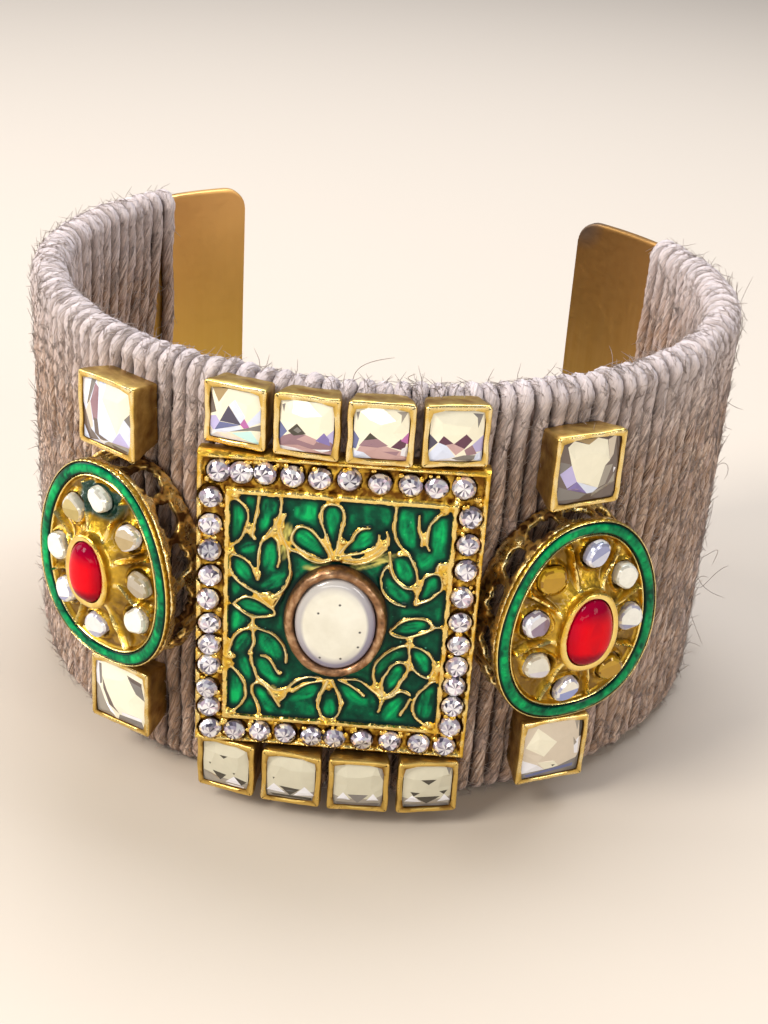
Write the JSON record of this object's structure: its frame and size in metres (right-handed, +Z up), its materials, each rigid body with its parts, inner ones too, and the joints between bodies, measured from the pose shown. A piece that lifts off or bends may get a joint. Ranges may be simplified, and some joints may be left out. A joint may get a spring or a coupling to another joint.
{
  "type": "kundan cuff bracelet",
  "caption": "Rigid open cuff bracelet of brass wound with jute yarn; its front carries an enamelled gilt plaque, square stones in bezels and egg-shaped medallions set with stones.",
  "frame": {"origin": "centre of the wrist hollow at floor level, midway between the arcs of both sides", "axes": "+X to the right as the plaque is looked at, +Z up along the wrist hollow, -Y out of the plaque"},
  "size_m": [0.072, 0.0626, 0.0425],
  "materials": {
    "brass_strip": "satin antique brass with soft tarnish and a darker patch at one corner",
    "jute_yarn": "hairy two-ply jute yarn, taupe with pinkish grey lights",
    "gilt_cast": "cast antique gold with darkened hollows and bright ridges",
    "gilt_bezel": "polished antique gold sheet, worn bright along the rim",
    "copper_bezel": "satin copper brown",
    "green_enamel": "glossy translucent emerald enamel over textured metal",
    "mirror_stone": "foil-backed clear glass, cream with violet and blue flashes",
    "clear_stone": "foil-backed brilliant-cut glass",
    "milky_stone": "creamy foil-backed glass with a few dark specks and a violet rim",
    "red_stone": "deep red polished glass",
    "polki_stone": "flat foil-backed stones, clear to amber"
  },
  "bodies": {
    "root": {"brass_cuff": "brass_strip", "jute_winding": "jute_yarn", "plaque": "gilt_cast", "plaque_enamel": "green_enamel", "centre_bezel": "copper_bezel", "centre_stone": "milky_stone", "border_rhinestones": "clear_stone", "top_bezel_1": "gilt_bezel", "top_bezel_2": "gilt_bezel", "top_bezel_3": "gilt_bezel", "top_bezel_4": "gilt_bezel", "bottom_bezel_1": "gilt_bezel", "bottom_bezel_2": "gilt_bezel", "bottom_bezel_3": "gilt_bezel", "bottom_bezel_4": "gilt_bezel", "bezel_upper_right": "gilt_bezel", "bezel_lower_right": "gilt_bezel", "bezel_upper_left": "gilt_bezel", "bezel_lower_left": "gilt_bezel", "top_stone_1": "mirror_stone", "top_stone_2": "mirror_stone", "top_stone_3": "mirror_stone", "top_stone_4": "mirror_stone", "bottom_stone_1": "mirror_stone", "bottom_stone_2": "mirror_stone", "bottom_stone_3": "mirror_stone", "bottom_stone_4": "mirror_stone", "stone_upper_right": "mirror_stone", "stone_lower_right": "mirror_stone", "stone_upper_left": "mirror_stone", "stone_lower_left": "mirror_stone", "medallion_body_right": "gilt_cast", "medallion_body_left": "gilt_cast", "medallion_enamel_right": "green_enamel", "medallion_enamel_left": "green_enamel", "red_stone_right": "red_stone", "red_stone_left": "red_stone", "polki_right_1": "polki_stone", "polki_right_2": "polki_stone", "polki_right_3": "polki_stone", "polki_right_4": "polki_stone", "polki_right_5": "polki_stone", "polki_right_6": "polki_stone", "polki_right_7": "polki_stone", "polki_right_8": "polki_stone", "polki_left_1": "polki_stone", "polki_left_2": "polki_stone", "polki_left_3": "polki_stone", "polki_left_4": "polki_stone", "polki_left_5": "polki_stone", "polki_left_6": "polki_stone", "polki_left_7": "polki_stone", "polki_left_8": "polki_stone"}
  },
  "joints": []
}
